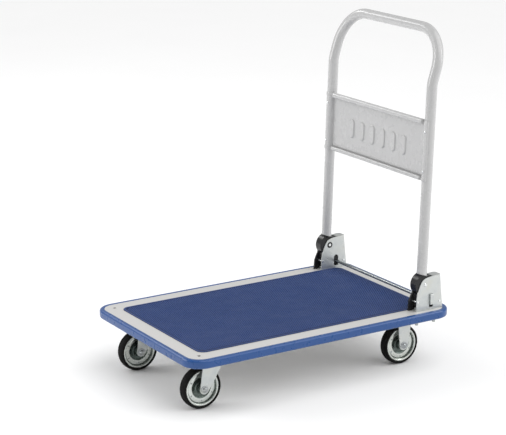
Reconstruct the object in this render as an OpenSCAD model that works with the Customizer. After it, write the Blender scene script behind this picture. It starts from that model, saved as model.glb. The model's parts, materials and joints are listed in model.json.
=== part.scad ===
// Flatbed platform truck with a fold-down push handle.
// X runs along the platform with the handle at +X, Y runs across it, Z is up from the floor.
// The origin is on the floor under the middle of the platform. Left is -Y, right is +Y.

/* [Platform] */
// Overall length over the bumper strip
deck_l = 740; // [700:5:800]
// Overall width over the bumper strip
deck_w = 480; // [460:5:520]
// Height of the deck sheet's top above the floor
deck_z = 148; // [148:1:152]
// Width of the bare painted border between the mat and the bumper
border = 38; // [34:1:46]
// Thickness of the deck sheet
sheet = 2; // [1.5:0.5:2.5]
// Depth of the deck's down-turned flange
flange_h = 20; // [20:1:22]
// Thickness of the anti-slip mat
mat_t = 2; // [1.5:0.5:3]
// Radius of the mat's corners
mat_r = 20; // [10:1:30]

/* [Bumper] */
// How far the bumper strip stands out from the deck flange
bumper_t = 12; // [10:1:14]
// Height of the bumper strip
bumper_h = 21; // [18:1:22]
// Radius of the bumper's inner corner
corner_r = 35; // [25:1:45]

/* [Handle] */
// Overall height of the handle above the floor
handle_h = 835; // [820:5:880]
// Outside diameter of the handle tube
tube_d = 25.4; // [22:0.2:25.4]
// Wall thickness of the handle tube
tube_wall = 1.5; // [1:0.1:2]
// Distance of each handle post from the centre line
post_y = 203; // [195:1:205]
// Backward lean of the posts, in degrees
post_lean = 2; // [1:0.5:3]
// Backward lean of the grip loop, in degrees
loop_lean = 17; // [12:1:22]
// Bend radius of the loop's corners
loop_r = 90; // [70:5:110]
// Height of the sheet panel between the posts
panel_h = 147; // [130:1:160]
// Height of the panel's lower edge above the deck
panel_z = 320; // [300:5:340]

/* [Hinge] */
// Height of the handle pivot above the deck
pivot_z = 65; // [62:1:68]
// Distance of the handle pivot from the middle of the platform
pivot_x = 296; // [290:1:300]
// Radius of the handle hub
hub_r = 28; // [26:1:28]
// Outside width of a hinge bracket
bracket_w = 26; // [26:1:30]
// Thickness of the bracket sheet
bracket_t = 2; // [1.5:0.5:2]

/* [Casters] */
// Wheel diameter
wheel_d = 100; // [98:1:100]
// Tyre width
tyre_w = 25; // [22:1:26]
// Distance of each caster's plate centre from the middle of the platform
caster_x = 270; // [250:1:280]
// Distance of each caster from the centre line
caster_y = 150; // [130:1:155]
// Distance from swivel axis to axle
trail = 27; // [20:1:30]

/* [Hidden] */

$fn = 48;
LEFT = -1;
RIGHT = 1;
BORDER_GREY = [0.76, 0.76, 0.73];
MAT_BLUE = [0.25, 0.33, 0.52];
BUMPER_BLUE = [0.15, 0.32, 0.62];
ZINC = [0.75, 0.78, 0.76];
BLACK = [0.08, 0.08, 0.08];
SILVER = [0.74, 0.74, 0.74];
STEEL = [0.45, 0.46, 0.47];
RUBBER = [0.13, 0.13, 0.13];

fit = 0.05;        // radial clearance of a running fit
gap = 0.4;         // clearance between pieces that move past each other
eps = 0.01;        // overlap that joins two solids of one piece

// Platform
pan_l = deck_l - 2 * bumper_t;
pan_w = deck_w - 2 * bumper_t;
mat_shift = 2.5;   // the mat sits this far towards the handle
mat_l = pan_l - 2 * border + 2 * mat_shift;
mat_w = pan_w - 2 * border;
under_z = deck_z - sheet;
hole_x = pan_l / 2 - 28;
hole_y = pan_w / 2 - 26;
hole_r = 4.25;
cross_w = 130;
cross_x = caster_x + 9;
cross_depth = 19;
cross_lip = 10;
cross_l = pan_w - 2 * sheet - 4;
plate_top = under_z - cross_depth;
stringer_w = 80;

// Casters
wheel_r = wheel_d / 2;
plate_t = 2.5;
plate_l = 92;
plate_w = 66;
bolt_dx = 74;
bolt_dy = 46;
bolt_r = 4;
bolt_hole_r = 4.25;
fork_half = 17.5;
leg_t = 2.5;
leg_mid = fork_half + leg_t / 2;
axle_r = 5;
hub_half = fork_half - 0.3;
bush_r = 9;
ball_r = 3;
ball_pitch_r = 19;
ball_n = 16;
race_t = 2;
ball_z = plate_top - plate_t - race_t - ball_r;
crown_top = ball_z - ball_r - 0.3;
crown_h = 3.5;
crown_r = 24;
king_r = 6;
web_z = crown_top - crown_h - 3;
web_t = 3;
rivet_n = 6;
rivet_pitch_r = 31.5;
rivet_face = 5.8;   // half thickness of the disc where the rivets sit

// Hinge
tube_r = tube_d / 2;
cheek_in = post_y - bracket_w / 2;
cheek_out = post_y + bracket_w / 2;
inner_half = bracket_w / 2 - bracket_t;
pivot_h = deck_z + pivot_z;
pin_r = 3.5;
pin_stand = 1.3;   // how far a riveted pin stands out of its cheek
boss_r = 8;
spacer_r = 2.6;
spacer_at = [[274.2, 24], [340, 18]];
base_t = 2.5;
bracket_bolt_x = [282, 334];
web_tilt = 6.3;
web_x = 353;
bar_x = pivot_x + 20;
bar_z = 20;
bar_r = 4;
bar_grip = 6;      // how far the bar reaches into the lock plate
lock_w = 13;
lock_bottom = 14;
lock_top = pivot_z - 25;
lug_front = 6.5;    // the lug on the lock plate starts this far in front of the bar
lug_w = 10;
lug_stand = 5;      // how far the lug stands out of the outer cheek
release_travel = 7;
lug_gap = 0.6;      // room round the lug in its slot
lug_slot_h = lock_top - lock_bottom + release_travel + 2 * lug_gap;
spring_r = 5;
spring_wire = 0.5;
spring_turns = 3;
spring_foot = 0.15;  // lift of the free spring above the bracket's base
slot_w = 13;
slot_top = 36;
slot_bottom = 7;
tube_offset = 3;   // the tube axis runs this far in front of the pivot
neck_r = 8.5;      // swaged lower end of the tube, held in the hub
neck_end = 22;     // distance up the tube at which the full diameter starts
collar_r = 14.2;
collar_start = 21;
collar_h = 10;

// Handle path, measured along the tube from the pivot's height
kink_r = 80;
kink_rise = kink_r * (sin(loop_lean) - sin(post_lean));
kink_run = kink_r * (cos(post_lean) - cos(loop_lean));
loop_leg = 26;
loop_rise = (loop_leg + loop_r) * cos(loop_lean);
post_len = (handle_h - tube_r - pivot_h - kink_rise - loop_rise) / cos(post_lean);
kink_x = pivot_x - tube_offset + post_len * sin(post_lean);
kink_z = pivot_h + post_len * cos(post_lean);

// Panel
panel_t = 1.2;
panel_x = -0.5;    // rear face of the sheet, from the tube's axis
tab_inset = 10;
bead_n = 6;
bead_pitch = 43;
bead_w = 22;
bead_l = 50;
bead_h = 2.6;

// ---------- shared shapes ----------

// Flat rounded rectangle
module rounded_rect(l, w, r) {
    square([l - 2 * r, w], center = true);
    square([l, w - 2 * r], center = true);
    for (sx = [-1, 1], sy = [-1, 1])
        translate([sx * (l / 2 - r), sy * (w / 2 - r)])
            circle(r);
}

// Extrudes an outline drawn in X and Z along Y, from y0 to y1
module extrude_y(y0, y1) {
    translate([0, y1, 0])
        rotate([90, 0, 0])
            linear_extrude(y1 - y0)
                children();
}

// A cylinder along Y, from y0 to y1
module rod_y(x, z, r, y0, y1) {
    translate([x, y0, z])
        rotate([-90, 0, 0])
            cylinder(h = y1 - y0, r = r);
}

// Places children in the leaning frame of the posts: Z runs up the tube from the pivot's height
module post_frame(side) {
    translate([pivot_x - tube_offset, side * post_y, pivot_h])
        rotate([0, post_lean, 0])
            children();
}

// A hexagon prism across flats af
module hexagon(af, h) {
    cylinder(h = h, r = af / 2 / cos(30), $fn = 6);
}

// ---------- platform ----------

module deck_pan() {
    color(BORDER_GREY)
        difference() {
            translate([0, 0, deck_z - flange_h])
                linear_extrude(flange_h)
                    rounded_rect(pan_l, pan_w, corner_r);
            translate([0, 0, deck_z - flange_h - 1])
                linear_extrude(flange_h + 1 - sheet)
                    rounded_rect(pan_l - 2 * sheet, pan_w - 2 * sheet, corner_r - sheet);
            for (sy = [LEFT, RIGHT])
                translate([-hole_x, sy * hole_y, under_z - 1])
                    cylinder(h = sheet + 2, r = hole_r);
            for (x = bracket_bolt_x, sy = [LEFT, RIGHT])
                translate([x, sy * post_y, under_z - 1])
                    cylinder(h = sheet + 2, r = bolt_hole_r);
        }
}

// Hat section that stiffens the deck and carries two casters
module crossmember(end) {
    half = cross_w / 2;
    color(BORDER_GREY)
        difference() {
            intersection() {
                extrude_y(-cross_l / 2, cross_l / 2)
                    translate([end * cross_x, plate_top])
                        polygon([
                            [-half, 0], [half, 0], [half, cross_depth - sheet],
                            [half + cross_lip, cross_depth - sheet], [half + cross_lip, cross_depth],
                            [half - sheet, cross_depth], [half - sheet, sheet],
                            [-half + sheet, sheet], [-half + sheet, cross_depth],
                            [-half - cross_lip, cross_depth], [-half - cross_lip, cross_depth - sheet],
                            [-half, cross_depth - sheet]
                        ]);
                // clear of the pan's rounded corners
                translate([0, 0, plate_top - 1])
                    linear_extrude(cross_depth + 2)
                        rounded_rect(pan_l - 2 * sheet - 2, pan_w - 2 * sheet - 2, corner_r - sheet - 1);
            }
            for (sy = [LEFT, RIGHT]) {
                for (bx = [-1, 1], by = [-1, 1])
                    translate([end * caster_x + bx * bolt_dx / 2,
                               sy * caster_y + by * bolt_dy / 2, plate_top - 1])
                        cylinder(h = sheet + 2, r = bolt_hole_r);
                if (end < 0)
                    translate([end * caster_x, sy * caster_y, plate_top - 1])
                        cylinder(h = sheet + 2, r = 11);
                if (end > 0)
                    for (x = bracket_bolt_x)
                        translate([x, sy * post_y, plate_top - 1])
                            cylinder(h = sheet + 2, r = bolt_hole_r);
            }
        }
}

module crossmember_front() {
    crossmember(-1);
}

module crossmember_rear() {
    crossmember(1);
}

// Channel along the middle of the deck, between the two crossmembers
module deck_stringer() {
    half = stringer_w / 2;
    length = 2 * (cross_x - cross_w / 2 - cross_lip - 1);
    color(BORDER_GREY)
        translate([-length / 2, 0, plate_top])
            rotate([90, 0, 90])
                linear_extrude(length)
                    polygon([
                        [-half, 0], [half, 0], [half, cross_depth], [half - sheet, cross_depth],
                        [half - sheet, sheet], [-half + sheet, sheet], [-half + sheet, cross_depth],
                        [-half, cross_depth]
                    ]);
}

module mat() {
    color(MAT_BLUE)
        translate([mat_shift, 0, deck_z])
            linear_extrude(mat_t)
                rounded_rect(mat_l, mat_w, mat_r);
}

// Section of the bumper strip: X is the distance out from the flange, Y the height from the deck
module bumper_section() {
    r = bumper_t / 2;
    top = 0.5;
    translate([0, top - bumper_h])
        square([r, bumper_h]);
    translate([0, top - bumper_h + r])
        square([bumper_t, bumper_h - 2 * r]);
    for (y = [top - r, top - bumper_h + r])
        translate([r, y])
            circle(r);
}

module bumper() {
    straight_x = pan_l / 2 - corner_r;
    straight_y = pan_w / 2 - corner_r;
    color(BUMPER_BLUE)
        translate([0, 0, deck_z]) {
            for (a = [0, 180]) {
                rotate([0, 0, a])
                    translate([pan_l / 2, straight_y, 0])
                        rotate([90, 0, 0])
                            linear_extrude(2 * straight_y)
                                bumper_section();
                rotate([0, 0, a + 90])
                    translate([pan_w / 2, straight_x, 0])
                        rotate([90, 0, 0])
                            linear_extrude(2 * straight_x)
                                bumper_section();
            }
            for (c = [[1, 1, 0], [-1, 1, 90], [-1, -1, 180], [1, -1, 270]])
                translate([c[0] * straight_x, c[1] * straight_y, 0])
                    rotate([0, 0, c[2]])
                        rotate_extrude(angle = 90)
                            translate([corner_r, 0])
                                bumper_section();
        }
}

// ---------- hinge brackets and lock ----------

// Side outline of a bracket cheek in X and Z, Z from the deck
module cheek_outline() {
    difference() {
        polygon([
            [270.5, 0], [270.8, 30], [273, 44], [277, 57], [281, 66], [284.5, 72], [289, 77.5],
            [296, 81], [306, 83], [320, 84], [335, 85], [web_x + 10, 85], [web_x + 10, 0]
        ]);
        translate([web_x, 0])
            rotate([0, 0, web_tilt])
                translate([0, -5])
                    square([40, 120]);
    }
}

// Plan of the bent sheet: two cheeks and a rear web with rounded bends
module bracket_plan() {
    bend = 7;
    difference() {
        channel_plan(bracket_w / 2, bend, 90);
        translate([-bracket_t, 0])
            channel_plan(inner_half, bend - bracket_t, 90);
    }
}

// Channel end, closed at X = 0 and open towards -X, with corners of radius r
module channel_plan(half, r, length) {
    translate([-length, -half])
        square([length - r, 2 * half]);
    translate([-r, -half + r])
        square([r, 2 * (half - r)]);
    for (s = [-1, 1])
        translate([-r, s * (half - r)])
            circle(r);
}

module hinge_bracket(side) {
    inner = -side;   // the cheek that faces the middle of the platform
    color(ZINC)
        translate([0, side * post_y, deck_z])
            difference() {
                union() {
                    intersection() {
                        translate([web_x, 0, 0])
                            rotate([0, -web_tilt, 0])
                                translate([0, 0, -15])
                                    linear_extrude(120)
                                        bracket_plan();
                        extrude_y(-bracket_w, bracket_w)
                            cheek_outline();
                    }
                    translate([274, -inner_half - eps, 0])
                        cube([68, 2 * inner_half + 2 * eps, base_t]);
                    // roof between the cheeks, behind the hub
                    extrude_y(-inner_half - eps, inner_half + eps)
                        polygon([
                            [320, 82], [335, 83], [342, 83], [342, 85], [335, 85], [320, 84]
                        ]);
                }
                // pivot: a wide hole for the hub's boss inside, a pin hole outside
                rod_y(pivot_x, pivot_z, pin_r + fit, -bracket_w, bracket_w);
                translate([0, inner * (bracket_w / 2 - bracket_t / 2), 0])
                    rod_y(pivot_x, pivot_z, boss_r + fit, -bracket_t, bracket_t);
                // slot for the release bar in the inner cheek, and for the lock plate's lug in the outer one
                translate([0, inner * (bracket_w / 2 - bracket_t / 2), 0])
                    extrude_y(-bracket_t, bracket_t)
                        bar_slot();
                translate([0, side * (bracket_w / 2 - bracket_t / 2), 0])
                    extrude_y(-bracket_t, bracket_t)
                        translate([bar_x - lug_front - lug_gap, lock_bottom - release_travel - lug_gap])
                            square([lug_w + 2 * lug_gap, lug_slot_h]);
                for (p = spacer_at)
                    rod_y(p[0], p[1], spacer_r, -bracket_w, bracket_w);
                for (x = bracket_bolt_x)
                    translate([x, 0, -1])
                        cylinder(h = base_t + 2, r = bolt_hole_r);
            }
}

module bar_slot() {
    r = slot_w / 2;
    translate([bar_x - r, slot_bottom])
        square([slot_w, slot_top - slot_bottom - r]);
    translate([bar_x, slot_top - r])
        circle(r);
}

module hinge_bracket_left() {
    hinge_bracket(LEFT);
}

module hinge_bracket_right() {
    hinge_bracket(RIGHT);
}

// Moulded cover between the cheeks, in front of the lock, with an ear along its +Y edge
module lock_guard(side) {
    half = inner_half - 0.2;
    color(BLACK)
        translate([0, side * post_y, deck_z])
            difference() {
                union() {
                    extrude_y(-half, half)
                        polygon([
                            [277, base_t], [303, base_t], [303, 48], [280, 52], [275.5, 47],
                            [275.3, base_t]
                        ]);
                    extrude_y(half - 4.5, half)
                        polygon([
                            [261, 0.3], [272, 0.3], [272, base_t], [280, base_t], [280, 47],
                            [274, 46], [269, 38], [263, 24]
                        ]);
                }
                rod_y(pivot_x, pivot_z, hub_r + 1.2, -bracket_w, bracket_w);
                rod_y(spacer_at[0][0], spacer_at[0][1], spacer_r, -bracket_w, bracket_w);
                translate([bracket_bolt_x[0], 0, 0])
                    cylinder(h = base_t + 9, r = 8);
            }
}

module lock_guard_left() {
    lock_guard(LEFT);
}

module lock_guard_right() {
    lock_guard(RIGHT);
}

// One pivot pin a side: its head is on the outer cheek and its end shows in the hub's boss
module pivot_pins() {
    color(ZINC)
        for (side = [LEFT, RIGHT]) {
            y0 = side * post_y - side * (bracket_w / 2 + 0.6);
            y1 = side * post_y + side * bracket_w / 2;
            rod_y(pivot_x, pivot_h, pin_r, min(y0, y1), max(y0, y1));
            translate([pivot_x, y1, pivot_h])
                rotate([-side * 90, 0, 0])
                    cylinder(h = pin_stand + 0.4, r1 = pin_r + 0.8, r2 = pin_r - 0.6);
        }
}

// Riveted pins that hold the cheeks apart at the front and the rear
module spacer_pins() {
    color(ZINC)
        for (side = [LEFT, RIGHT], p = spacer_at)
            rod_y(p[0], deck_z + p[1], spacer_r, side * post_y - bracket_w / 2 - pin_stand,
                  side * post_y + bracket_w / 2 + pin_stand);
}

module bracket_bolts() {
    top = deck_z + base_t;
    color(ZINC)
        for (side = [LEFT, RIGHT], x = bracket_bolt_x)
            translate([x, side * post_y, 0]) {
                translate([0, 0, top])
                    hexagon(13, 5.5);
                translate([0, 0, 110])
                    cylinder(h = top - 110 + eps, r = bolt_r);
            }
}

module bracket_nuts() {
    color(ZINC)
        for (side = [LEFT, RIGHT], x = bracket_bolt_x)
            translate([x, side * post_y, plate_top - 6.5])
                difference() {
                    hexagon(13, 6.5);
                    translate([0, 0, -1])
                        cylinder(h = 9, r = bolt_r);
                }
}

// ---------- handle ----------

// Grip loop and both posts of one bent tube, as a solid of the given radius
module handle_path(r) {
    for (side = [LEFT, RIGHT]) {
        post_frame(side)
            translate([0, 0, neck_end + tube_r - r])
                cylinder(h = post_len - neck_end - tube_r + r, r = r);
        // shallow backward bend
        translate([kink_x, side * post_y, kink_z])
            rotate([0, post_lean, 0])
                translate([kink_r, 0, 0])
                    rotate([90, 0, 180])
                        rotate_extrude(angle = loop_lean - post_lean)
                            translate([kink_r, 0])
                                circle(r);
    }
    translate([kink_x + kink_run, 0, kink_z + kink_rise])
        rotate([0, loop_lean, 0]) {
            for (side = [LEFT, RIGHT]) {
                translate([0, side * post_y, 0])
                    rotate([0, 0, 180])
                        cylinder(h = loop_leg, r = r);
                translate([0, side * (post_y - loop_r), loop_leg])
                    rotate([90, 0, side * 90])
                        rotate_extrude(angle = 90)
                            translate([loop_r, 0])
                                circle(r);
            }
            rod_y(0, loop_leg + loop_r, r, loop_r - post_y, post_y - loop_r);
        }
}

module handle_tube() {
    inner_r = tube_r - tube_wall;
    color(SILVER)
        difference() {
            union() {
                handle_path(tube_r);
                for (side = [LEFT, RIGHT])
                    post_frame(side)
                        translate([0, 0, -13])
                            cylinder(h = neck_end + 13.5, r = neck_r);
            }
            handle_path(inner_r);
            for (side = [LEFT, RIGHT]) {
                post_frame(side)
                    translate([0, 0, -20])
                        cylinder(h = neck_end + 22, r = neck_r - tube_wall);
                rod_y(pivot_x, pivot_h, pin_r + fit, side * post_y - 20, side * post_y + 20);
            }
        }
}

// Pressed sheet between the posts: rolled rims, saddle tabs over the tubes and raised beads
module handle_panel() {
    s0 = (panel_z - pivot_z) / cos(post_lean);
    s1 = s0 + panel_h;
    rim_top = 5.5;
    rim_low = 4.5;
    half = post_y - tube_r + 0.5;
    color(SILVER)
        translate([pivot_x - tube_offset, 0, pivot_h])
            rotate([0, post_lean, 0]) {
                difference() {
                    union() {
                        translate([panel_x - panel_t, -half, s0 + rim_low])
                            cube([panel_t, 2 * half, panel_h - rim_low - rim_top]);
                        panel_rim(panel_x - rim_top, s1 - rim_top, rim_top);
                        panel_rim(panel_x - rim_low, s0 + rim_low, rim_low);
                        for (side = [LEFT, RIGHT])
                            translate([0, side * post_y, s0 + tab_inset])
                                cylinder(h = panel_h - 2 * tab_inset, r = tube_r + panel_t);
                    }
                    for (side = [LEFT, RIGHT]) {
                        translate([0, side * post_y, s0 - 5])
                            cylinder(h = panel_h + 10, r = tube_r);
                        // the saddle tabs cover only the front of the tube
                        translate([panel_x, side * post_y - 30, s0 - 5])
                            cube([40, 60, panel_h + 10]);
                        translate([-40, side * (post_y + 25) - 15, s0 - 5])
                            cube([80, 30, panel_h + 10]);
                    }
                }
                for (i = [0 : bead_n - 1])
                    translate([panel_x - panel_t, (i - (bead_n - 1) / 2) * bead_pitch, s0 + panel_h / 2 - 4])
                        stiffening_bead();
            }
}

// Hollow rolled edge that runs across the panel, stood forward of its face
module panel_rim(x, z, r) {
    half = post_y - 5;
    difference() {
        rod_y(x, z, r, -half, half);
        rod_y(x, z, r - panel_t, -half - 1, half + 1);
    }
}

// Raised oblong bead, half sunk in the sheet
module stiffening_bead() {
    r = bead_w / 2;
    reach = bead_l / 2 - r;
    difference() {
        union() {
            for (z = [-reach, reach])
                translate([r - bead_h, 0, z])
                    sphere(r);
            translate([r - bead_h, 0, -reach])
                cylinder(h = 2 * reach, r = r);
        }
        translate([eps, -r - 1, -bead_l])
            cube([2 * r, 2 * r + 2, 2 * bead_l]);
    }
}

// Round-headed rivets on the front of the posts
module panel_rivets() {
    s0 = (panel_z - pivot_z) / cos(post_lean);
    color(SILVER)
        for (side = [LEFT, RIGHT], s = [s0 + 24, s0 + 120])
            post_frame(side)
                translate([-tube_r - panel_t, 0, s])
                    rotate([0, -90, 0])
                        rivet_head(3.6, 1.8);
}

// Domed head of radius r and height h, on z = 0
module rivet_head(r, h) {
    ball = (r * r + h * h) / (2 * h);
    intersection() {
        translate([0, 0, h - ball])
            sphere(ball);
        cylinder(h = h + 1, r = r);
    }
}

// Moulded hub: a disc between the cheeks and a collar round the tube's end
module handle_hub(side) {
    half = inner_half - 0.3;
    inner = -side;
    boss = [min(0, inner * bracket_w / 2), max(0, inner * bracket_w / 2)];
    color(BLACK)
        difference() {
            union() {
                translate([0, side * post_y, 0]) {
                    rod_y(pivot_x, pivot_h, hub_r, -half, half);
                    // boss that turns in the inner cheek
                    rod_y(pivot_x, pivot_h, boss_r, boss[0], boss[1]);
                }
                post_frame(side)
                    translate([0, 0, collar_start])
                        cylinder(h = collar_h, r = collar_r);
            }
            post_frame(side) {
                translate([0, 0, -13.5])
                    cylinder(h = neck_end + 14, r = neck_r);
                translate([0, 0, neck_end])
                    cylinder(h = 40, r = tube_r);
            }
            // the collar's lip is high in front and low behind
            post_frame(side)
                translate([0, 0, collar_start + 3])
                    rotate([0, 14, 0])
                        translate([-40, -20, 0])
                            cube([80, 40, 30]);
            rod_y(pivot_x, pivot_h, pin_r + fit, side * post_y - 20, side * post_y + 20);
            // notch for the lock block
            translate([bar_x - lock_w / 2 - gap, side * post_y - 20, deck_z + lock_top - 5])
                cube([lock_w + 2 * gap, 40, 16]);
        }
}

module handle_hub_left() {
    handle_hub(LEFT);
}

module handle_hub_right() {
    handle_hub(RIGHT);
}

// ---------- release bar and lock ----------

module release_bar() {
    half = post_y + bar_grip;
    color(ZINC)
        rod_y(bar_x, deck_z + bar_z, bar_r, -half, half);
}

// Block on the bar that fills the space between the cheeks on one side of the bracket's middle
module half_block(side, dir, x0, x1) {
    w = inner_half - gap;
    translate([bar_x, side * post_y, deck_z])
        difference() {
            translate([x0, min(0, dir * w), lock_bottom])
                cube([x1 - x0, w, lock_top - lock_bottom]);
            rod_y(0, bar_z, bar_r, side > 0 ? -bracket_w : -bar_grip, side > 0 ? bar_grip : bracket_w);
        }
}

// Plastic slider on the inner side of each bracket
module lock_block(side) {
    color(BLACK)
        half_block(side, -side, -lock_w / 2, lock_w / 2);
}

// Steel lock plate on the outer side of each bracket; its lug stands out through the outer cheek
module lock_plate(side) {
    start = inner_half - gap - 1;
    reach = bracket_w / 2 + lug_stand;
    color(ZINC) {
        half_block(side, side, -lock_w / 2, lock_w / 2);
        extrude_y(min(side * (post_y + start), side * (post_y + reach)),
                  max(side * (post_y + start), side * (post_y + reach)))
            translate([bar_x - lug_front, deck_z + lock_bottom])
                square([lug_w, lock_top - lock_bottom]);
    }
}

module lock_block_left() {
    lock_block(LEFT);
}

module lock_block_right() {
    lock_block(RIGHT);
}

module lock_plate_left() {
    lock_plate(LEFT);
}

module lock_plate_right() {
    lock_plate(RIGHT);
}

// Helical compression spring of round wire, closed at its ends
module coil(r, wire, height, turns) {
    sides = 8;
    steps = turns * 14;
    function point(i, j) =
        let (a = 360 * turns * i / steps, b = 360 * j / sides)
        [(r + wire * cos(b)) * cos(a), (r + wire * cos(b)) * sin(a),
         wire + (height - 2 * wire) * i / steps + wire * sin(b)];
    polyhedron(
        points = [for (i = [0 : steps], j = [0 : sides - 1]) point(i, j)],
        faces = concat(
            [[for (j = [0 : sides - 1]) j]],
            [for (i = [0 : steps - 1], j = [0 : sides - 1])
                [i * sides + j, (i + 1) * sides + j, (i + 1) * sides + (j + 1) % sides,
                 i * sides + (j + 1) % sides]],
            [[for (j = [sides - 1 : -1 : 0]) steps * sides + j]]
        )
    );
}

module return_spring(side) {
    color(STEEL)
        translate([bar_x, side * post_y, deck_z + base_t + spring_foot])
            coil(spring_r, spring_wire, lock_bottom - base_t - spring_foot, spring_turns);
}

module return_spring_left() {
    return_spring(LEFT);
}

module return_spring_right() {
    return_spring(RIGHT);
}

// ---------- casters ----------

// Top plate with four bolt holes, drawn about the plate's centre
module caster_top_plate() {
    difference() {
        translate([0, 0, plate_top - plate_t])
            linear_extrude(plate_t)
                rounded_rect(plate_l, plate_w, 8);
        for (x = [-1, 1], y = [-1, 1])
            translate([x * bolt_dx / 2, y * bolt_dy / 2, plate_top - plate_t - 1])
                cylinder(h = plate_t + 2, r = bolt_hole_r);
    }
}

// Swivel caster's plate, with the pressed upper ball race and a dust skirt
module swivel_plate(side) {
    under = plate_top - plate_t;
    skirt_z = crown_top - crown_h + 0.6;
    color(ZINC)
        translate([-caster_x, side * caster_y, 0])
            difference() {
                union() {
                    caster_top_plate();
                    translate([0, 0, under - race_t])
                        cylinder(h = race_t + eps, r = 27.5);
                    translate([0, 0, skirt_z])
                        difference() {
                            cylinder(h = under - skirt_z, r = 27.5);
                            translate([0, 0, -1])
                                cylinder(h = 40, r = 25);
                        }
                }
                translate([0, 0, under - 10])
                    cylinder(h = 20, r = king_r);
            }
}

module swivel_plate_left() {
    swivel_plate(LEFT);
}

module swivel_plate_right() {
    swivel_plate(RIGHT);
}

module kingpins() {
    color(ZINC)
        for (side = [LEFT, RIGHT])
            translate([-caster_x, side * caster_y, 0]) {
                translate([0, 0, plate_top])
                    rivet_head(9.5, 4);
                translate([0, 0, web_z - gap - 3])
                    cylinder(h = plate_top - web_z + gap + 3 + eps, r = king_r);
                translate([0, 0, web_z - gap - 4])
                    cylinder(h = 4, r = 9.5);
            }
}

module swivel_balls() {
    color(STEEL)
        for (side = [LEFT, RIGHT], i = [0 : ball_n - 1])
            translate([-caster_x, side * caster_y, ball_z])
                rotate([0, 0, i * 360 / ball_n])
                    translate([ball_pitch_r, 0, 0])
                        sphere(ball_r);
}

// Fork leg's outline in X and Z from the axle: round foot, upright rear edge, flared front edge
module leg_outline(rise, back, front_low, front_top, foot) {
    circle(foot);
    polygon([
        [-foot, 0], [-back, rise], [front_top, rise], [front_top - 2, rise - 6],
        [front_low, 14], [foot * cos(20), -foot * sin(20)], [0, 0]
    ]);
}

// Swivel fork, trailing towards -X
module swivel_fork(side) {
    rise = web_z - wheel_r;
    color(ZINC)
        translate([-caster_x, side * caster_y, 0])
            difference() {
                union() {
                    for (s = [-1, 1])
                        extrude_y(s * leg_mid - leg_t / 2, s * leg_mid + leg_t / 2)
                            translate([-trail, wheel_r])
                                leg_outline(rise + eps, 3, 24, 49, 11.5);
                    translate([-trail - 3, -fork_half - leg_t, web_z])
                        cube([52, 2 * (fork_half + leg_t), web_t]);
                    translate([0, 0, web_z])
                        cylinder(h = crown_top - web_z, r = crown_r);
                }
                translate([0, 0, web_z - 1])
                    cylinder(h = 20, r = king_r + fit);
                rod_y(-trail, wheel_r, axle_r, -40, 40);
            }
}

module swivel_fork_left() {
    swivel_fork(LEFT);
}

module swivel_fork_right() {
    swivel_fork(RIGHT);
}

// Rigid fork: a bolted plate with two legs folded down from it
module rigid_fork(side) {
    rise = plate_top - plate_t - wheel_r;
    color(ZINC)
        translate([caster_x, side * caster_y, 0])
            difference() {
                union() {
                    caster_top_plate();
                    for (s = [-1, 1])
                        extrude_y(s * leg_mid - leg_t / 2, s * leg_mid + leg_t / 2)
                            translate([0, wheel_r])
                                leg_outline(rise + eps, 18.5, 15.5, 24, 12);
                }
                rod_y(0, wheel_r, axle_r, -40, 40);
            }
}

module rigid_fork_left() {
    rigid_fork(LEFT);
}

module rigid_fork_right() {
    rigid_fork(RIGHT);
}

module caster_bolts() {
    color(ZINC)
        for (end = [-1, 1], side = [LEFT, RIGHT], x = [-1, 1], y = [-1, 1])
            translate([end * caster_x + x * bolt_dx / 2, side * caster_y + y * bolt_dy / 2, 0]) {
                translate([0, 0, plate_top + sheet])
                    hexagon(13, 5);
                translate([0, 0, plate_top - plate_t - 9])
                    cylinder(h = plate_t + 9 + sheet + eps, r = bolt_r);
            }
}

module caster_nuts() {
    color(ZINC)
        for (end = [-1, 1], side = [LEFT, RIGHT], x = [-1, 1], y = [-1, 1])
            translate([end * caster_x + x * bolt_dx / 2, side * caster_y + y * bolt_dy / 2,
                       plate_top - plate_t - 6.5])
                difference() {
                    hexagon(13, 6.5);
                    translate([0, 0, -1])
                        cylinder(h = 9, r = bolt_r);
                }
}

// Axle bolt: flanged round head on the -Y side, thread end on the +Y side
module axle_bolt(x, side) {
    outer = fork_half + leg_t;
    color(ZINC)
        translate([x, side * caster_y, wheel_r]) {
            rod_y(0, 0, axle_r, -outer - eps, outer + 10);
            translate([0, -outer, 0])
                rotate([90, 0, 0]) {
                    cylinder(h = 1.4, r = 9);
                    translate([0, 0, 1.4 - eps])
                        rivet_head(6.6, 4);
                }
        }
}

module axle_nut(x, side) {
    outer = fork_half + leg_t;
    color(ZINC)
        translate([x, side * caster_y + outer, wheel_r])
            rotate([-90, 0, 0])
                difference() {
                    union() {
                        cylinder(h = 1.4, r = 9);
                        translate([0, 0, 1.4 - eps])
                            hexagon(15, 6.5);
                    }
                    translate([0, 0, -1])
                        cylinder(h = 12, r = axle_r);
                }
}

module front_axle_bolt_left() {
    axle_bolt(-caster_x - trail, LEFT);
}

module front_axle_bolt_right() {
    axle_bolt(-caster_x - trail, RIGHT);
}

module front_axle_nut_left() {
    axle_nut(-caster_x - trail, LEFT);
}

module front_axle_nut_right() {
    axle_nut(-caster_x - trail, RIGHT);
}

module rear_axle_bolts() {
    for (side = [LEFT, RIGHT])
        axle_bolt(caster_x, side);
}

module rear_axle_nuts() {
    for (side = [LEFT, RIGHT])
        axle_nut(caster_x, side);
}

// ---------- wheels ----------

// Places a wheel drawn about Z on its axle
module on_axle(end, side) {
    translate([end > 0 ? caster_x : -caster_x - trail, side * caster_y, wheel_r])
        rotate([-90, 0, 0])
            children();
}

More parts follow.
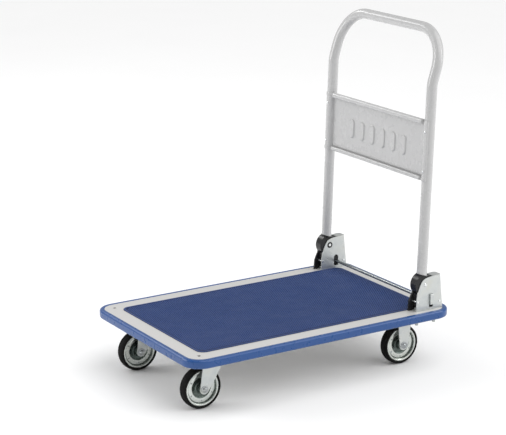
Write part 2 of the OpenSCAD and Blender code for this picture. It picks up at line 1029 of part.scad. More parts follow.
// Half section of the pressed disc, from the hub out to the rim lip; X is the radius
function disc_half() = [
    [bush_r, 15.5], [11.4, 15.5], [12.2, 14.7], [12.8, 4], [14.2, 2.6], [19, 2.9], [24, 4.7],
    [26.5, rivet_face], [35, rivet_face], [36.2, 5.4], [37, 6.2], [37.6, 9.4], [38.6, 11],
    [40.2, 11.6], [42, 11.2], [43, 10], [43, 8.4], [41.6, 7.4], [41.2, 6]
];

module wheel_disc(end, side) {
    upper = disc_half();
    lower = [for (i = [len(upper) - 1 : -1 : 0]) [upper[i][0], -upper[i][1]]];
    color(ZINC)
        on_axle(end, side)
            rotate_extrude()
                polygon(concat(upper, lower));
}

// Crowned rubber tread, moulded round the rim
module tyre(end, side) {
    half = tyre_w / 2;
    crown = [for (i = [-6 : 6]) [wheel_r - 2.6 * pow(abs(i) / 6, 2.6), half * i / 6]];
    color(RUBBER)
        on_axle(end, side)
            rotate_extrude()
                polygon(concat(
                    crown,
                    [[45.4, half], [44.2, half - 0.6], [43, 10], [43, 8.4], [41.6, 7.4], [41.2, 6]],
                    [[41.2, -6], [41.6, -7.4], [43, -8.4], [43, -10], [44.2, 0.6 - half], [45.4, -half]]
                ));
}

module wheel_bush(end, side) {
    color(STEEL)
        on_axle(end, side)
            difference() {
                cylinder(h = 2 * hub_half, r = bush_r, center = true);
                cylinder(h = 2 * hub_half + 2, r = axle_r + fit, center = true);
            }
}

// Rivets that join the disc's two pressings, headed on both sides
module wheel_rivets(end, side) {
    color(ZINC)
        on_axle(end, side)
            for (i = [0 : rivet_n - 1], s = [-1, 1])
                rotate([0, 0, i * 360 / rivet_n + 30])
                    translate([rivet_pitch_r, 0, s * rivet_face])
                        rotate([s < 0 ? 180 : 0, 0, 0])
                            rivet_head(2.2, 1.2);
}

module wheel_disc_front_left() {
    wheel_disc(-1, LEFT);
}

module wheel_disc_front_right() {
    wheel_disc(-1, RIGHT);
}

module wheel_disc_rear_left() {
    wheel_disc(1, LEFT);
}

module wheel_disc_rear_right() {
    wheel_disc(1, RIGHT);
}

module tyre_front_left() {
    tyre(-1, LEFT);
}

module tyre_front_right() {
    tyre(-1, RIGHT);
}

module tyre_rear_left() {
    tyre(1, LEFT);
}

module tyre_rear_right() {
    tyre(1, RIGHT);
}

module wheel_bush_front_left() {
    wheel_bush(-1, LEFT);
}

module wheel_bush_front_right() {
    wheel_bush(-1, RIGHT);
}

module wheel_bush_rear_left() {
    wheel_bush(1, LEFT);
}

module wheel_bush_rear_right() {
    wheel_bush(1, RIGHT);
}

module wheel_rivets_front_left() {
    wheel_rivets(-1, LEFT);
}

module wheel_rivets_front_right() {
    wheel_rivets(-1, RIGHT);
}

module wheel_rivets_rear_left() {
    wheel_rivets(1, LEFT);
}

module wheel_rivets_rear_right() {
    wheel_rivets(1, RIGHT);
}

// ---------- list of what is drawn ----------
deck_pan();
crossmember_front();
crossmember_rear();
deck_stringer();
mat();
bumper();
hinge_bracket_left();
hinge_bracket_right();
lock_guard_left();
lock_guard_right();
pivot_pins();
spacer_pins();
bracket_bolts();
bracket_nuts();
caster_bolts();
caster_nuts();
swivel_plate_left();
swivel_plate_right();
kingpins();
swivel_balls();
rigid_fork_left();
rigid_fork_right();
rear_axle_bolts();
rear_axle_nuts();
handle_tube();
handle_panel();
panel_rivets();
handle_hub_left();
handle_hub_right();
release_bar();
lock_block_left();
lock_block_right();
lock_plate_left();
lock_plate_right();
return_spring_left();
return_spring_right();
swivel_fork_left();
swivel_fork_right();
front_axle_bolt_left();
front_axle_bolt_right();
front_axle_nut_left();
front_axle_nut_right();
wheel_disc_front_left();
wheel_disc_front_right();
wheel_disc_rear_left();
wheel_disc_rear_right();
tyre_front_left();
tyre_front_right();
tyre_rear_left();
tyre_rear_right();
wheel_bush_front_left();
wheel_bush_front_right();
wheel_bush_rear_left();
wheel_bush_rear_right();
wheel_rivets_front_left();
wheel_rivets_front_right();
wheel_rivets_rear_left();
wheel_rivets_rear_right();
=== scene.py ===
"""Looks of the flatbed platform truck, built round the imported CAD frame. All lengths are in metres."""

import json
import math

import bmesh
import bpy
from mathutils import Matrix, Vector


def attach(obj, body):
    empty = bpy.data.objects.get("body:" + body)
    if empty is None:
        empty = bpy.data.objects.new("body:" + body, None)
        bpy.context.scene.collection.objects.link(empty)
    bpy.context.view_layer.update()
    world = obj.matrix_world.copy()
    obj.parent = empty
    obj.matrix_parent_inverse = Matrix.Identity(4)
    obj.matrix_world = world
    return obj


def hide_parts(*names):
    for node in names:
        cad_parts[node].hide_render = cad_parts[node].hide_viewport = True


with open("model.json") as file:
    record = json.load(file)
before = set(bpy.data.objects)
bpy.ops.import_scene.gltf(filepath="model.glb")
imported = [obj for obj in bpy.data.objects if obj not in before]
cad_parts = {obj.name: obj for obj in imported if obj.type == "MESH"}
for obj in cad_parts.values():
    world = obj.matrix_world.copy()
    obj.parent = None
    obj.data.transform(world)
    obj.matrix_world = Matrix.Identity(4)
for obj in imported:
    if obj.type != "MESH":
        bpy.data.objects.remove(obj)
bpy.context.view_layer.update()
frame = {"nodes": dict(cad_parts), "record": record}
nodes = frame["nodes"]
MM = 0.001
SIDES = {"left": -1, "right": 1}


# ---------- the truck's own sizes, in millimetres, as the frame has them ----------

DECK_Z = 148.0             # top of the deck sheet
PAN = (716.0, 456.0, 35.0)  # length, width and corner radius of the deck's flange
MAT = (645.0, 380.0, 20.0)
MAT_SHIFT = 2.5            # the mat sits this far towards the handle
MAT_LOW = 1.35             # height of the mat's ground above the deck
MAT_TOP = 1.98             # height of its lozenges
PIVOT = (296.0, 213.0)     # X and Z of the handle's pivot
TUBE_OFFSET = 3.0          # the tube's axis runs this far in front of the pivot
TUBE_R = 12.7
POST_Y = 203.0
POST_LEAN = math.radians(2)
LOOP_LEAN = math.radians(17)
KINK_R = 80.0
LOOP_LEG = 26.0
LOOP_R = 90.0
HANDLE_H = 835.0
NECK_END = 22.0
PANEL_START = 320.0 - 65.0  # height of the panel's lower edge above the pivot
PANEL_H = 147.0
PANEL_T = 1.2
CASTER_X = 270.0
CASTER_Y = 150.0
TRAIL = 27.0
WHEEL_R = 50.0


# ---------- materials ----------

class Shader:
    """A node material about one Principled shader, with short calls to add its detail."""

    def __init__(self, name, roughness=0.5, metallic=0.0, specular=0.5, coat=0.0, coat_roughness=0.1):
        self.material = bpy.data.materials.new(name)
        self.material.use_nodes = True
        self.tree = self.material.node_tree
        self.bsdf = self.tree.nodes["Principled BSDF"]
        self.bsdf.inputs["Roughness"].default_value = roughness
        self.bsdf.inputs["Metallic"].default_value = metallic
        self.bsdf.inputs["Specular IOR Level"].default_value = specular
        self.bsdf.inputs["Coat Weight"].default_value = coat
        self.bsdf.inputs["Coat Roughness"].default_value = coat_roughness
        self.coords = self.tree.nodes.new("ShaderNodeTexCoord").outputs["Object"]
        self.last_normal = None

    def new(self, kind, **inputs):
        made = self.tree.nodes.new(kind)
        for key, value in inputs.items():
            socket = made.inputs[key.replace("_", " ")]
            if hasattr(value, "links"):
                self.tree.links.new(value, socket)
            else:
                socket.default_value = value
        return made

    def link(self, a, b):
        self.tree.links.new(a, b)

    def stretched(self, sx, sy, sz):
        return self.new("ShaderNodeMapping", Vector=self.coords, Scale=(sx, sy, sz)).outputs["Vector"]

    def noise(self, scale, detail=3.0, roughness=0.55, vector=None):
        made = self.new("ShaderNodeTexNoise", Scale=scale, Detail=detail, Roughness=roughness)
        self.link(vector or self.coords, made.inputs["Vector"])
        return made.outputs["Fac"]

    def ramp(self, fac, stops):
        made = self.new("ShaderNodeValToRGB")
        self.link(fac, made.inputs["Fac"])
        points = made.color_ramp.elements
        while len(points) < len(stops):
            points.new(0.5)
        for point, (place, color) in zip(points, stops):
            point.position = place
            point.color = (*color, 1) if len(color) == 3 else color
        return made.outputs["Color"]

    def range(self, fac, low, high, out_low, out_high):
        made = self.new("ShaderNodeMapRange")
        self.link(fac, made.inputs["Value"])
        for key, value in (("From Min", low), ("From Max", high), ("To Min", out_low), ("To Max", out_high)):
            made.inputs[key].default_value = value
        return made.outputs["Result"]

    def mix(self, fac, a, b):
        made = self.tree.nodes.new("ShaderNodeMix")
        made.data_type = "RGBA"
        for socket, value in ((made.inputs[0], fac), (made.inputs[6], a), (made.inputs[7], b)):
            if hasattr(value, "links"):
                self.link(value, socket)
            else:
                socket.default_value = (*value, 1) if hasattr(value, "__len__") else value
        return made.outputs[2]

    def color(self, socket):
        self.link(socket, self.bsdf.inputs["Base Color"])
        return self

    def rough(self, socket):
        self.link(socket, self.bsdf.inputs["Roughness"])
        return self

    def bump(self, height, distance, strength=1.0):
        made = self.new("ShaderNodeBump", Strength=strength, Distance=distance)
        self.link(height, made.inputs["Height"])
        if self.last_normal:
            self.link(self.last_normal, made.inputs["Normal"])
        self.last_normal = made.outputs["Normal"]
        self.link(self.last_normal, self.bsdf.inputs["Normal"])
        return self

    def rounded(self, radius):
        """Softens the shading of sharp edges, as rolled and deburred sheet has them."""
        made = self.tree.nodes.new("ShaderNodeBevel")
        made.samples = 6
        made.inputs["Radius"].default_value = radius
        self.last_normal = made.outputs["Normal"]
        return self

    def painted_edge_highlight(self, base, edge, amount=0.5):
        """Lightens or darkens a colour where the surface is sharply convex; every use here lightens edges, a
        painted highlight.
        """
        point = self.tree.nodes.new("ShaderNodeNewGeometry").outputs["Pointiness"]
        highlight_mask = self.range(point, 0.51, 0.56, 0.0, amount)
        return self.mix(highlight_mask, base, edge)


def enamel(name, dark, light, roughness, coat):
    """Sprayed paint: faint orange peel, cloudy tone and small smudges in its gloss."""
    s = Shader(name, roughness, coat=coat, coat_roughness=0.12)
    tone = s.ramp(s.noise(9, 4), [(0.30, dark), (0.70, light)])
    # painted highlight: the paint colour is lightened along convex edges
    s.color(s.painted_edge_highlight(tone, [min(1, c * 1.12) for c in light], 0.5))
    s.rough(s.range(s.noise(38, 5), 0.3, 0.7, roughness - 0.02, roughness + 0.05))
    s.bump(s.noise(900, 2), 0.00004, 0.15)
    return s.material


def zinc(name, roughness, tones, metallic=0.8, scale=34):
    """Bright zinc plate: drifts between blue-grey and yellow-green, with fine rolling marks."""
    s = Shader(name, roughness, metallic=metallic)
    hue = s.ramp(s.noise(scale, 5, 0.55), list(zip((0.30, 0.52, 0.74), tones)))
    streak = s.noise(60, 4, 0.6, s.stretched(1, 1, 14))
    s.color(s.mix(s.range(streak, 0.3, 0.7, 0.0, 0.25), hue, [min(1, c * 1.1) for c in tones[1]]))
    s.rough(s.range(s.noise(120, 4), 0.3, 0.7, roughness - 0.06, roughness + 0.12))
    s.rounded(0.0006)
    s.bump(s.noise(420, 3), 0.00005, 0.12)
    return s.material


def plastic(name, dark, light, roughness, grain, specular=0.5, coat=0.0):
    """Moulded plastic: fine leather-like grain and a slightly uneven tone."""
    s = Shader(name, roughness, specular=specular, coat=coat, coat_roughness=0.16)
    # painted highlight: the moulding's colour is lightened along convex edges
    s.color(s.painted_edge_highlight(s.ramp(s.noise(14, 4), [(0.3, dark), (0.7, light)]),
                   [min(1, c * 1.25 + 0.01) for c in light], 0.5))
    s.rough(s.range(s.noise(70, 4), 0.3, 0.7, roughness - 0.03, roughness + 0.06))
    s.bump(s.noise(grain, 3, 0.6), 0.00008, 0.15)
    return s.material


def rubber(name, dark, light, roughness):
    """Tyre rubber: dusty, with a dull, slightly mottled surface and a painted highlight on its convex edges.
    """
    s = Shader(name, roughness, specular=0.08)
    dust = s.ramp(s.noise(55, 6, 0.65), [(0.35, dark), (0.75, light)])
    # painted highlight: the rubber is lightened along convex edges
    s.color(s.painted_edge_highlight(dust, [c * 1.6 + 0.004 for c in light], 0.4))
    s.rough(s.range(s.noise(160, 4), 0.3, 0.7, roughness - 0.08, roughness + 0.12))
    s.bump(s.noise(700, 3), 0.00015, 0.4)
    return s.material


def steel(name, dark, light, roughness):
    """Bare or oiled steel with turning marks."""
    s = Shader(name, roughness, metallic=0.9)
    s.color(s.ramp(s.noise(50, 5, 0.6, s.stretched(1, 9, 1)), [(0.3, dark), (0.7, light)]))
    s.rough(s.range(s.noise(140, 4), 0.3, 0.7, roughness - 0.08, roughness + 0.12))
    s.bump(s.noise(500, 3), 0.00006, 0.3)
    return s.material


def mat_vinyl(name):
    """Anti-slip vinyl: deep blue, dusty on the tops of the raised lozenges, with painted shade making it
    much darker between them.
    """
    s = Shader(name, 0.5, specular=0.18)
    cloud = s.ramp(s.noise(5, 4), [(0.3, (0.058, 0.108, 0.290)), (0.7, (0.072, 0.128, 0.330))])
    speck = s.noise(320, 4, 0.6)
    top = s.mix(s.range(speck, 0.45, 0.75, 0.0, 0.35), cloud, (0.115, 0.175, 0.40))
    height = s.new("ShaderNodeSeparateXYZ", Vector=s.coords).outputs["Z"]
    # painted shade: the colour falls to a near-black blue between the lozenges, below their tops
    crest = s.range(height, (DECK_Z + MAT_LOW) * MM, (DECK_Z + 1.9) * MM, 0.0, 1.0)
    s.color(s.mix(crest, (0.006, 0.017, 0.075), top))
    s.rough(s.range(s.noise(24, 5), 0.3, 0.7, 0.42, 0.58))
    s.bump(s.noise(1400, 2), 0.00010, 0.4)
    return s.material


MATERIALS = {
    "painted_steel_ivory": enamel(
        "ivory_enamel", (0.500, 0.495, 0.484), (0.520, 0.515, 0.504), roughness=0.36, coat=0.15),
    "painted_steel_silver": enamel(
        "silver_enamel", (0.475, 0.475, 0.475), (0.495, 0.495, 0.495), roughness=0.26, coat=0.6),
    "mat_vinyl": mat_vinyl("blue_vinyl"),
    "bumper_plastic": plastic(
        "blue_bumper", (0.009, 0.062, 0.226), (0.010, 0.066, 0.238),
        roughness=0.28, grain=900, specular=0.45, coat=0.15),
    "black_plastic": plastic(
        "black_moulding", (0.006, 0.006, 0.007), (0.012, 0.012, 0.013),
        roughness=0.22, grain=1100, specular=0.25, coat=0.1),
    "zinc_plated_steel": zinc(
        "bright_zinc", 0.32, ((0.50, 0.53, 0.535), (0.58, 0.60, 0.59), (0.57, 0.58, 0.54))),
    "dark_steel": steel("dark_bar_steel", (0.09, 0.09, 0.10), (0.17, 0.17, 0.18), roughness=0.35),
    "tyre_rubber": rubber("tyre_rubber", (0.005, 0.005, 0.005), (0.010, 0.010, 0.0095), roughness=0.62),
}
WHEEL_ZINC = zinc(
    "wheel_zinc", 0.20, ((0.52, 0.55, 0.53), (0.62, 0.65, 0.62), (0.60, 0.62, 0.56)), metallic=0.9, scale=12)
# painted shade: a dark zinc for the recessed dish and the groove under the lip
DISH_SHADE_ZINC = zinc(
    "dish_painted_shade", 0.24, ((0.07, 0.09, 0.085), (0.12, 0.145, 0.13), (0.10, 0.12, 0.10)),
    metallic=0.85, scale=16)
# painted reflection: darker zinc tones stand in for the dark reflections along the polished release bar
BAR_ZINC_PAINTED_REFLECTION = zinc(
    "bar_zinc_painted_reflection", 0.16, ((0.20, 0.22, 0.23), (0.30, 0.32, 0.33), (0.25, 0.27, 0.27)), metallic=0.95)
# zinc for pins and panel rivets; its extra brightness is a painted highlight on their heads
PIN_ZINC_PAINTED_HIGHLIGHT = zinc(
    "pin_zinc_painted_highlight", 0.18, ((0.62, 0.65, 0.66), (0.80, 0.82, 0.82), (0.72, 0.74, 0.72)), metallic=0.9)
BOLT_ZINC = zinc(
    "bolt_zinc", 0.22, ((0.30, 0.32, 0.33), (0.42, 0.44, 0.45), (0.37, 0.39, 0.37)), metallic=0.9)


def finish_of(part):
    """The material of a CAD node: its slot's own, or a zinc of its own for small hardware: the release bar's
    dark zinc is a painted reflection, the pins' and panel rivets' bright zinc carries a painted highlight,
    and bolts, nuts and wheel rivets take a darker zinc.
    """
    name = part["node"]
    if name == "release_bar":
        return BAR_ZINC_PAINTED_REFLECTION
    if name in ("panel_rivets", "pivot_pins", "spacer_pins"):
        return PIN_ZINC_PAINTED_HIGHLIGHT
    if "_bolt" in name or "_nut" in name or name.startswith("wheel_rivets"):
        return BOLT_ZINC
    return MATERIALS[part["material_slot"]]


for part in frame["record"]["subparts"]:
    mesh = nodes[part["node"]].data
    mesh.materials.clear()
    mesh.materials.append(finish_of(part))


# ---------- mesh helpers ----------

def add_object(name, bm, material, body, replaced=(), sharp=35):
    """Turns a bmesh in millimetres into a piece that rides on a body."""
    bmesh.ops.scale(bm, vec=(MM, MM, MM), verts=bm.verts)
    bmesh.ops.recalc_face_normals(bm, faces=bm.faces)
    mesh = bpy.data.meshes.new(name)
    bm.to_mesh(mesh)
    bm.free()
    mesh.materials.append(material)
    mesh.polygons.foreach_set("use_smooth", [True] * len(mesh.polygons))
    mesh.set_sharp_from_angle(angle=math.radians(sharp))
    made = bpy.data.objects.new(name, mesh)
    bpy.context.scene.collection.objects.link(made)
    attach(made, body)
    if replaced:
        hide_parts(*replaced)
    return made


def loft(bm, rings, closed_ring=True, closed_path=False):
    """Skins rings of equal length, each a list of points."""
    made = [[bm.verts.new(p) for p in ring] for ring in rings]
    count = len(made[0])
    spans = list(zip(made, made[1:])) + ([(made[-1], made[0])] if closed_path else [])
    for a, b in spans:
        for i in range(count if closed_ring else count - 1):
            j = (i + 1) % count
            bm.faces.new((a[i], a[j], b[j], b[i]))
    if closed_ring and not closed_path:
        bm.faces.new(made[0][::-1])
        bm.faces.new(made[-1])
    return made


def lathe(bm, profile, axle, steps):
    """Spins a closed profile of (radius, offset along +Y) about an axle parallel to Y."""
    rings = []
    for k in range(steps):
        a = 2 * math.pi * k / steps
        rings.append([(axle[0] + r * math.cos(a), axle[1] + w, axle[2] + r * math.sin(a))
                      for r, w in profile])
    loft(bm, rings, closed_ring=True, closed_path=True)


def rounded_path(length, width, radius, steps=14):
    """(point, outward normal) pairs round a rounded rectangle."""
    found = []
    for cx, cy, start in ((1, 1, 0), (-1, 1, 90), (-1, -1, 180), (1, -1, 270)):
        for k in range(steps + 1):
            a = math.radians(start + 90 * k / steps)
            n = (math.cos(a), math.sin(a))
            found.append(((cx * (length / 2 - radius) + radius * n[0],
                           cy * (width / 2 - radius) + radius * n[1]), n))
    return found


def arc(cx, cy, r, a0, a1, steps):
    """Points of an arc between two angles in degrees."""
    return [(cx + r * math.cos(math.radians(a0 + (a1 - a0) * k / steps)),
             cy + r * math.sin(math.radians(a0 + (a1 - a0) * k / steps))) for k in range(steps + 1)]


# ---------- bumper and mat ----------

def bumper_profile():
    """Section of the strip: (distance out from the flange, height from the deck)."""
    return ([(0, -20.5)] + arc(6.6, -15.1, 5.4, -90, 0, 8) + [(12, -11.0)] + arc(6.4, -5.1, 5.6, 0, 78, 8)
            + [(5.4, 0.42), (2.6, 0.5), (1.1, 0.5), (0.35, 0.2), (0, -0.5)])


def make_bumper():
    bm = bmesh.new()
    length, width, radius = PAN
    rings = []
    for (x, y), (nx, ny) in rounded_path(length, width, radius):
        rings.append([(x + nx * out, y + ny * out, DECK_Z + h) for out, h in bumper_profile()])
    loft(bm, rings, closed_path=True)
    add_object("bumper_strip", bm, MATERIALS["bumper_plastic"], "platform", ["bumper"])


def add_lozenge(bm, x, y, reach_x, reach_y):
    """One raised lozenge of the mat, with its top pulled in from its foot."""
    around = ((1, 0), (0, 1), (-1, 0), (0, -1))
    foot, crest = [[bm.verts.new((x + a * reach_x * share, y + b * reach_y * share, DECK_Z + height))
                    for a, b in around] for share, height in ((1.0, 1.3), (0.45, MAT_TOP))]
    for k in range(4):
        m = (k + 1) % 4
        bm.faces.new((foot[k], foot[m], crest[m], crest[k]))
    bm.faces.new(crest)


def make_mat():
    """Anti-slip sheet with a rolled-down rim and staggered raised lozenges."""
    bm = bmesh.new()
    length, width, radius = MAT
    profile = [(0, 0), (0, 1.0), (-0.35, 1.5), (-1.0, 1.6), (-4.5, 1.6), (-5.2, MAT_LOW)]
    rings = []
    for (x, y), (nx, ny) in rounded_path(length, width, radius, 10):
        rings.append([(x + MAT_SHIFT + nx * out, y + ny * out, DECK_Z + h) for out, h in profile])
    made = loft(bm, rings, closed_ring=False, closed_path=True)
    bm.faces.new([ring[-1] for ring in made])
    bm.faces.new([ring[0] for ring in made][::-1])
    pitch, half_l, half_w, rim = 6.4, 2.9, 1.75, 8
    columns = int((length - 2 * rim) / pitch * 2)
    rows = int((width - 2 * rim) / pitch)
    for i in range(columns + 1):
        x = -(columns * pitch / 2) / 2 + i * pitch / 2
        # lozenges lie alternately along and across the sheet
        reach = (half_l, half_w) if i % 2 else (half_w, half_l)
        for j in range(rows + 1 - (i % 2)):
            y = -rows * pitch / 2 + (j + 0.5 * (i % 2)) * pitch
            past_x = max(abs(x) - (length / 2 - radius - rim), 0)
            past_y = max(abs(y) - (width / 2 - radius - rim), 0)
            if math.hypot(past_x, past_y) <= radius:
                add_lozenge(bm, x + MAT_SHIFT, y, *reach)
    add_object("tread_mat", bm, MATERIALS["mat_vinyl"], "platform", ["mat"], sharp=20)


# ---------- handle ----------

def handle_centreline():
    """Points of the bent tube's centre line, from the left post's foot over the loop to the right one's."""
    kink_rise = KINK_R * (math.sin(LOOP_LEAN) - math.sin(POST_LEAN))
    kink_run = KINK_R * (math.cos(POST_LEAN) - math.cos(LOOP_LEAN))
    loop_rise = (LOOP_LEG + LOOP_R) * math.cos(LOOP_LEAN)
    post = (HANDLE_H - TUBE_R - PIVOT[1] - kink_rise - loop_rise) / math.cos(POST_LEAN)
    x0 = PIVOT[0] - TUBE_OFFSET
    up = []
    for k in range(25):
        s = NECK_END + 1 + (post - NECK_END - 1) * k / 24
        up.append((x0 + s * math.sin(POST_LEAN), -POST_Y, PIVOT[1] + s * math.cos(POST_LEAN)))
    kx, kz = up[-1][0], up[-1][2]
    for k in range(1, 13):
        a = POST_LEAN + (LOOP_LEAN - POST_LEAN) * k / 12
        up.append((kx + KINK_R * (math.cos(POST_LEAN) - math.cos(a)), -POST_Y,
                   kz + KINK_R * (math.sin(a) - math.sin(POST_LEAN))))
    ox, oz = kx + kink_run, kz + kink_rise

    def lean(y, s):
        return (ox + s * math.sin(LOOP_LEAN), y, oz + s * math.cos(LOOP_LEAN))

    for k in range(1, 4):
        up.append(lean(-POST_Y, LOOP_LEG * k / 3))
    for k in range(1, 25):
        a = math.radians(90 * k / 24)
        up.append(lean(-POST_Y + LOOP_R * (1 - math.cos(a)), LOOP_LEG + LOOP_R * math.sin(a)))
    reach = POST_Y - LOOP_R
    top = [lean(-reach + 2 * reach * k / 12, LOOP_LEG + LOOP_R) for k in range(1, 12)]
    down = [(x, -y, z) for x, y, z in reversed(up)]
    return up + top + down


def sweep_tube(bm, points, radius, sides=40):
    """Round tube along a smooth line, with a frame carried along it without twist."""
    points = [Vector(p) for p in points]
    side = Vector((1, 0, 0))
    rings = []
    for k, p in enumerate(points):
        ahead = points[min(k + 1, len(points) - 1)] - points[max(k - 1, 0)]
        ahead.normalize()
        side = (side - ahead * side.dot(ahead)).normalized()
        other = ahead.cross(side)
        rings.append([p + (side * math.cos(2 * math.pi * i / sides)
                           + other * math.sin(2 * math.pi * i / sides)) * radius for i in range(sides)])
    loft(bm, rings)


def make_handle_tube():
    bm = bmesh.new()
    sweep_tube(bm, handle_centreline(), TUBE_R)
    add_object("handle_loop", bm, MATERIALS["painted_steel_silver"], "handle", ["handle_tube"])


def smoothstep(t):
    """Eases from 0 to 1."""
    t = min(1.0, max(0.0, t))
    return t * t * (3 - 2 * t)


def bead_height(y, s):
    """Height of the pressed row of oblong beads at a place on the panel."""
    count, pitch, half_w, half_l, height, edge = 6, 43.0, 11.0, 25.0, 3.0, 2.8
    best = 0.0
    for i in range(count):
        dy = abs(y - (i - (count - 1) / 2) * pitch)
        if dy > half_w + 1:
            continue
        inside = half_w - math.hypot(dy, max(0.0, abs(s) - (half_l - half_w)))
        best = max(best, height * smoothstep(inside / edge))
    return best


def panel_section():
    """Front of the panel, from its lower rolled rim to its upper one: (forward offset, distance up)."""
    low, top = 4.5, 5.5
    found = [(-low + (low - 0.1) * math.cos(math.radians(a)), low + low * math.sin(math.radians(a)))
             for a in range(-250, 1, 15)]
    found += [(0.0, low + (PANEL_H - low - top) * k / 90) for k in range(1, 90)]
    found += [(-top + top * math.cos(math.radians(a)), PANEL_H - top + top * math.sin(math.radians(a)))
              for a in range(0, 251, 15)]
    return found


def saddle(y):
    """Forward offset of the sheet at y: flat between the posts, round over their fronts."""
    flat = -0.5 - PANEL_T
    off_axis = POST_Y - abs(y)
    r = TUBE_R + PANEL_T
    if abs(off_axis) >= r:
        return flat
    return min(-math.sqrt(max(r * r - off_axis * off_axis, 4.0)), flat)


def on_posts(x, y, s):
    """A point at x across and s along the plane of the posts, from the panel's lower edge."""
    up = PANEL_START / math.cos(POST_LEAN) + s
    return (PIVOT[0] - TUBE_OFFSET + x * math.cos(POST_LEAN) + up * math.sin(POST_LEAN), y,
            PIVOT[1] - x * math.sin(POST_LEAN) + up * math.cos(POST_LEAN))


def make_panel():
    """Pressed sheet: beaded middle, rolled edges, and ends that saddle over the fronts of the posts."""
    bm = bmesh.new()
    section = panel_section()
    reach, columns = POST_Y + 9.0, 320
    rings = []
    for c in range(columns + 1):
        y = -reach + 2 * reach * c / columns
        front, back = [], []
        # the rims' roll and the sheet's offset fade out where the sheet meets a post
        share = 1.0 - smoothstep((abs(y) - (POST_Y - TUBE_R - 7)) / 6)
        for k, (x, s) in enumerate(section):
            before = section[max(k - 1, 0)]
            after = section[min(k + 1, len(section) - 1)]
            tx, ts = after[0] - before[0], after[1] - before[1]
            size = math.hypot(tx, ts) or 1.0
            nx, ns = -ts / size, tx / size
            out = saddle(y) + x * share - bead_height(y, s - PANEL_H / 2 + 4)
            front.append(on_posts(out, y, s))
            back.append(on_posts(out - nx * PANEL_T, y, s - ns * PANEL_T * share))
        rings.append(front + back[::-1])
    loft(bm, rings)
    add_object("pressed_panel", bm, MATERIALS["painted_steel_silver"], "handle", ["handle_panel"])


# ---------- wheels ----------

def axle_of(end, side):
    """Middle of a wheel; the front ones trail behind their swivel axis."""
    return (CASTER_X if end == "rear" else -CASTER_X - TRAIL, CASTER_Y * SIDES[side], WHEEL_R)


def both_sides(half):
    """Closes a half section, from hub to rim on the +Y side, with its mirror image."""
    return half + [(r, -w) for r, w in reversed(half)]


def tyre_profile():
    """Crowned tread with fine ribs, rounded shoulders and a bead against the rim."""
    half_w, ribs = 12.5, 9
    tread = []
    steps = ribs * 6
    for k in range(steps + 1):
        w = half_w * 0.92 * (2 * k / steps - 1)
        t = abs(w) / half_w
        groove = 0.28 * (0.5 + 0.5 * math.cos(2 * math.pi * ribs * k / steps)) ** 3
        tread.append((WHEEL_R - 2.6 * t ** 2.6 - groove, w))
    shoulder = [
        (46.9, 12.25), (46.2, 12.5), (45.4, 12.45), (44.6, 12.1), (43.9, 11.5), (43.2, 10.4), (43.0, 9.0),
        (41.8, 7.4), (41.2, 6.0)]
    return tread + shoulder + [(r, -w) for r, w in reversed(shoulder)]


def disc_profile():
    """Pressed wheel disc: hub tube, dished cone, rivet annulus, groove and rolled lip."""
    return both_sides([
        (9.0, 15.5), (11.4, 15.5), (12.0, 15.2), (12.3, 14.5), (12.8, 5.0), (13.1, 3.6), (14.2, 2.7),
        (16.4, 2.6), (19.0, 2.9), (21.6, 3.7), (24.0, 4.7), (25.4, 5.5), (26.8, 5.8), (30.6, 5.8),
        (34.6, 5.8), (35.4, 5.6), (36.2, 5.4), (37.0, 6.2), (37.4, 7.8), (37.8, 9.4), (38.4, 10.7),
        (39.2, 11.3), (40.4, 11.6), (41.6, 11.4), (42.5, 10.8), (43.0, 9.9), (43.1, 9.0), (42.8, 8.2),
        (42.0, 7.6), (41.4, 6.6), (41.2, 6.0)])


def shade_dish(disc, axle):
    """Gives the recessed dish and the groove under the lip their own darker plating, painted shade in these
    hollows.
    """
    dish_edge, groove_in, groove_out = 25.5 * MM, 35.2 * MM, 37.2 * MM
    hub = Vector(axle) * MM
    disc.data.materials.append(DISH_SHADE_ZINC)
    for face in disc.data.polygons:
        out = math.hypot(face.center.x - hub.x, face.center.z - hub.z)
        face.material_index = 1 if out < dish_edge or groove_in < out < groove_out else 0


def make_wheels():
    steps = 128
    for end in ("front", "rear"):
        for side in SIDES:
            name = f"{end}_{side}"
            axle = axle_of(end, side)
            bm = bmesh.new()
            lathe(bm, tyre_profile(), axle, steps)
            add_object("tread_" + name, bm, MATERIALS["tyre_rubber"], "wheel_" + name, ["tyre_" + name])
            bm = bmesh.new()
            lathe(bm, disc_profile(), axle, steps)
            disc = add_object("hub_disc_" + name, bm, WHEEL_ZINC, "wheel_" + name, ["wheel_disc_" + name],
                              sharp=50)
            shade_dish(disc, axle)


make_bumper()
make_mat()
make_handle_tube()
make_panel()
make_wheels()


# ---------- stage, light and camera ----------

def add_light(name, kind, energy):
    lamp = bpy.data.objects.new(name, bpy.data.lights.new(name, kind))
    lamp.data.energy = energy
    bpy.context.scene.collection.objects.link(lamp)
    return lamp


def area_light(name, place, target, size, power):
    """Soft box at a place, turned to a target."""
    lamp = add_light(name, "AREA", power)
    lamp.data.shape = "RECTANGLE"
    lamp.data.size, lamp.data.size_y = size
    lamp.location = place
    lamp.rotation_euler = (Vector(target) - Vector(place)).to_track_quat("-Z", "Y").to_euler()


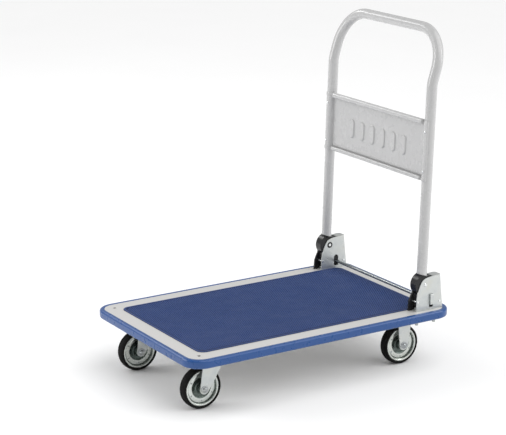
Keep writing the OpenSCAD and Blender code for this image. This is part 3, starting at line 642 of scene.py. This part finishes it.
def overhead_light(name, toward, strength, spread):
    """Broad, distant light from a direction."""
    lamp = add_light(name, "SUN", strength)
    lamp.data.angle = math.radians(spread)
    lamp.rotation_euler = Vector(toward).to_track_quat("Z", "Y").to_euler()


def make_floor():
    s = Shader("studio_floor", 0.9, specular=0.1)
    s.color(s.ramp(s.noise(2, 2), [(0.0, (0.93, 0.93, 0.93)), (1.0, (0.95, 0.95, 0.95))]))
    mesh = bpy.data.meshes.new("studio_floor")
    half = 30.0
    corners = [(-half, -half, 0), (half, -half, 0), (half, half, 0), (-half, half, 0)]
    mesh.from_pydata(corners, [], [(0, 1, 2, 3)])
    mesh.materials.append(s.material)
    floor = bpy.data.objects.new("studio_floor", mesh)
    bpy.context.scene.collection.objects.link(floor)


def make_world(strength):
    """Even white surroundings."""
    world = bpy.data.worlds.new("studio")
    bpy.context.scene.world = world
    world.use_nodes = True
    background = world.node_tree.nodes["Background"]
    background.inputs["Color"].default_value = (1, 1, 1, 1)
    background.inputs["Strength"].default_value = strength


def make_camera(place, down, turn, lens):
    """Camera at the photograph's viewing angle; angles in degrees."""
    camera = bpy.data.objects.new("camera", bpy.data.cameras.new("camera"))
    bpy.context.scene.collection.objects.link(camera)
    camera.data.sensor_width = 36
    camera.data.lens = lens
    camera.data.clip_end = 100
    camera.location = place
    camera.rotation_euler = (math.radians(90 - down), 0, math.radians(turn))
    bpy.context.scene.camera = camera


make_floor()
overhead_light("overhead", (0.38, -0.52, 0.90), strength=1.8, spread=75)
area_light("left_box", (-2.8, 1.6, 1.5), (0, 0, 0.35), (1.6, 1.8), power=44)
area_light("right_box", (2.6, -1.9, 1.5), (0, 0, 0.45), (0.9, 1.8), power=17)
area_light("rim_strip", (-0.9, 2.8, 2.2), (-0.1, 0, 0.35), (1.8, 0.5), power=16)
make_world(0.52)
make_camera((-2.2450, -3.4719, 1.5168), down=15.44, turn=-32.19, lens=127.09)
bpy.context.scene.view_settings.view_transform = "Standard"
bpy.context.scene.view_settings.look = "None"
